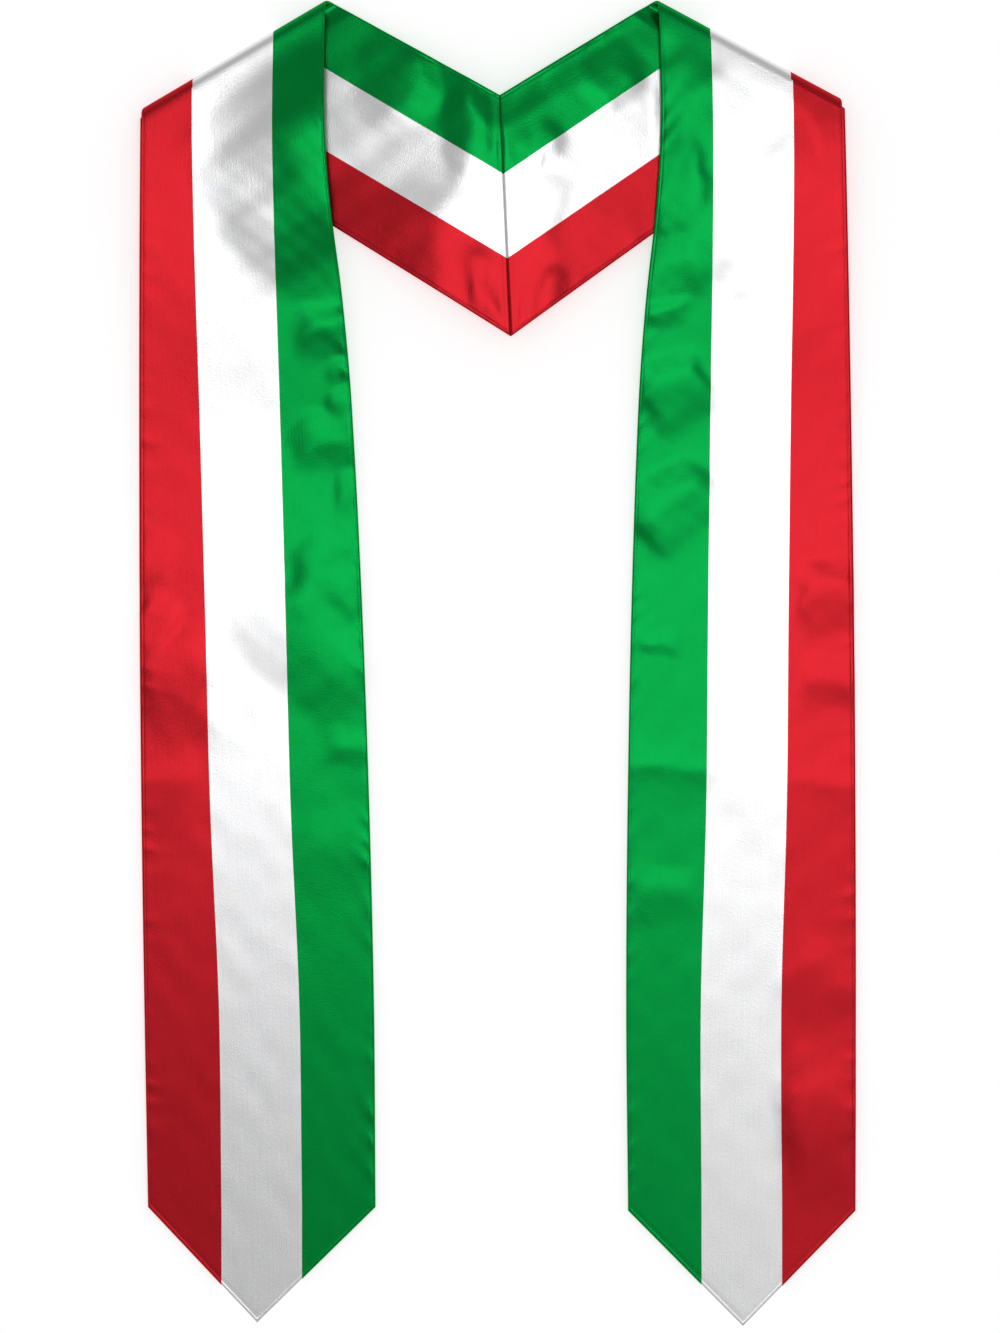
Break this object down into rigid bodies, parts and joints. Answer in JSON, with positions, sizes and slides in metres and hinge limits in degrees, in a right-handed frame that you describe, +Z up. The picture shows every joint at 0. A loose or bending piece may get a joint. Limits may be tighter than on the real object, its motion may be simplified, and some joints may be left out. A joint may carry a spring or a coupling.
{
  "type": "graduation stole",
  "caption": "Long lined satin stole lying flat, striped green, white and red lengthwise, with its pointed front panels folded forward from a V-shaped back neck.",
  "frame": {"origin": "on the ground under the middle of the lying stole", "axes": "+Y from the pointed ends towards the back of the neck, +X to the right seen from above, +Z up"},
  "size_m": [0.4148, 0.766, 0.0123],
  "materials": {
    "green_satin": "polyester satin, soft sheen",
    "white_satin": "polyester satin, soft sheen",
    "red_satin": "polyester satin, soft sheen"
  },
  "bodies": {
    "root": {"left_face_green_band": "green_satin", "left_face_white_band": "white_satin", "left_face_red_band": "red_satin", "left_lining_green_band": "green_satin", "left_lining_white_band": "white_satin", "left_lining_red_band": "red_satin", "right_face_green_band": "green_satin", "right_face_white_band": "white_satin", "right_face_red_band": "red_satin", "right_lining_green_band": "green_satin", "right_lining_white_band": "white_satin", "right_lining_red_band": "red_satin"}
  },
  "joints": []
}
